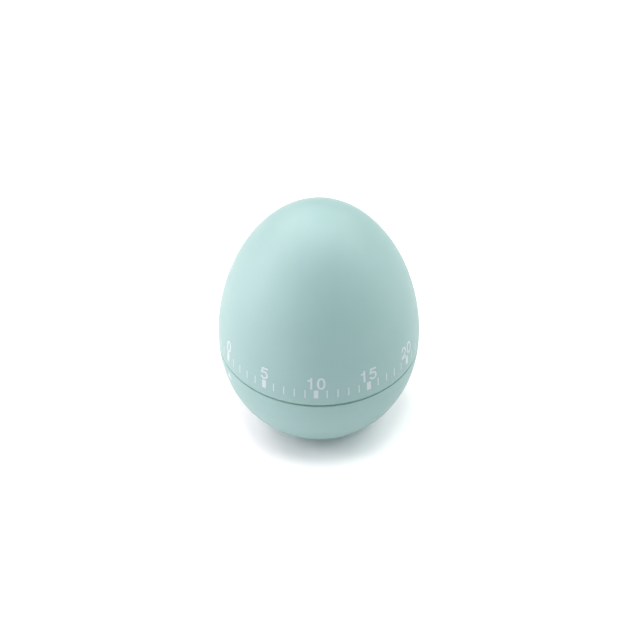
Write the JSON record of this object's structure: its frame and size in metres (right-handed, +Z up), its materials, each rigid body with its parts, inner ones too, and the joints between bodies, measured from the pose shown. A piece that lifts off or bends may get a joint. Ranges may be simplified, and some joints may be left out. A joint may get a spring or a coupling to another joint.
{
  "type": "kitchen timer",
  "caption": "Egg-shaped clockwork kitchen timer: the upper shell turns as a 60-minute dial over a flat-footed lower shell that holds the movement and bell.",
  "frame": {"origin": "centre of the flat base that the timer stands on", "axes": "+Z up along the dial's axis; the index mark is on the -Y side, under the dial's 0"},
  "size_m": [0.06, 0.06, 0.075],
  "materials": {
    "shell": "soft-touch matte mint-green moulded plastic",
    "zinc_plate": "zinc-plated sheet steel",
    "steel": "turned bright steel",
    "screw_steel": "zinc-plated screw",
    "bell_steel": "nickel-plated pressed bell",
    "spring_steel": "blued spring steel",
    "brass": "stamped clock brass",
    "ink": "printed off-white ink"
  },
  "bodies": {
    "case": {"lower_shell": "shell", "bottom_plate": "zinc_plate", "top_plate": "zinc_plate", "pillars": "steel", "pillar_nuts": "brass", "case_screws": "screw_steel", "bell": "bell_steel", "bell_post": "brass", "bell_screw": "screw_steel", "arbor_bush": "brass", "mainspring": "spring_steel", "spring_post": "steel", "hammer_spring": "spring_steel", "stop_pin": "steel"},
    "dial": {"upper_shell": "shell", "main_arbor": "steel", "ratchet_wheel": "steel", "wheel_clip": "spring_steel", "cam_disc": "brass", "stop_arm": "steel"},
    "main_wheel": {"main_wheel": "brass", "click_rivets": "steel", "click_spring": "spring_steel"},
    "click": {"click": "steel"},
    "second_wheel": {"second_pinion": "steel", "second_wheel": "brass"},
    "third_wheel": {"third_pinion": "steel", "third_wheel": "brass"},
    "escape_wheel": {"escape_pinion": "steel", "escape_wheel": "brass"},
    "balance": {"balance_arbor": "steel", "pallet_anchor": "brass", "balance_wheel": "brass"},
    "strike_wheel": {"strike_pinion": "steel", "strike_wheel": "brass"},
    "star_wheel": {"star_pinion": "steel", "star_wheel": "steel"},
    "hammer": {"hammer_arbor": "steel", "hammer": "brass", "hammer_tail": "steel", "hammer_cam_arm": "steel"}
  },
  "joints": [
    {"name": "dial_turn", "type": "hinge", "parent": "case", "child": "dial", "pos_m": [0, 0, 0.0279], "axis": [0, 0, -1], "range_deg": [0, 352], "deforming": ["mainspring"]},
    {"name": "main_wheel_turn", "type": "hinge", "parent": "case", "child": "main_wheel", "pos_m": [0, 0, 0.0196], "axis": [0, 0, -1], "continuous": true},
    {"name": "click_swing", "type": "hinge", "parent": "main_wheel", "child": "click", "pos_m": [0.00356, 0.00508, 0.0186], "axis": [0, 0, 1], "range_deg": [0, 10], "deforming": ["click_spring"]},
    {"name": "second_wheel_turn", "type": "hinge", "parent": "case", "child": "second_wheel", "pos_m": [0.0068, 0.01178, 0.0186], "axis": [0, 0, -1], "continuous": true},
    {"name": "third_wheel_turn", "type": "hinge", "parent": "case", "child": "third_wheel", "pos_m": [0.01188, 0.00576, 0.0186], "axis": [0, 0, -1], "continuous": true},
    {"name": "escape_wheel_turn", "type": "hinge", "parent": "case", "child": "escape_wheel", "pos_m": [0.01336, -0.00108, 0.0186], "axis": [0, 0, -1], "continuous": true},
    {"name": "balance_swing", "type": "hinge", "parent": "case", "child": "balance", "pos_m": [0.01175, -0.00645, 0.0186], "axis": [0, 0, 1], "range_deg": [-8, 8]},
    {"name": "strike_wheel_turn", "type": "hinge", "parent": "case", "child": "strike_wheel", "pos_m": [-0.0133, -0.00283, 0.0186], "axis": [0, 0, -1], "continuous": true},
    {"name": "star_wheel_turn", "type": "hinge", "parent": "case", "child": "star_wheel", "pos_m": [-0.01254, 0.00413, 0.0186], "axis": [0, 0, -1], "continuous": true},
    {"name": "hammer_swing", "type": "hinge", "parent": "case", "child": "hammer", "pos_m": [-0.00939, 0.01038, 0.0186], "axis": [0, 0, 1], "range_deg": [0, 12], "deforming": ["hammer_spring"]}
  ],
  "couplings": [
    {"joint": "main_wheel_turn", "follows": "dial_turn", "ratio": 1},
    {"joint": "second_wheel_turn", "follows": "dial_turn", "ratio": -7.5},
    {"joint": "third_wheel_turn", "follows": "dial_turn", "ratio": 60},
    {"joint": "escape_wheel_turn", "follows": "dial_turn", "ratio": -360},
    {"joint": "strike_wheel_turn", "follows": "dial_turn", "ratio": -7.5},
    {"joint": "star_wheel_turn", "follows": "dial_turn", "ratio": 45}
  ]
}
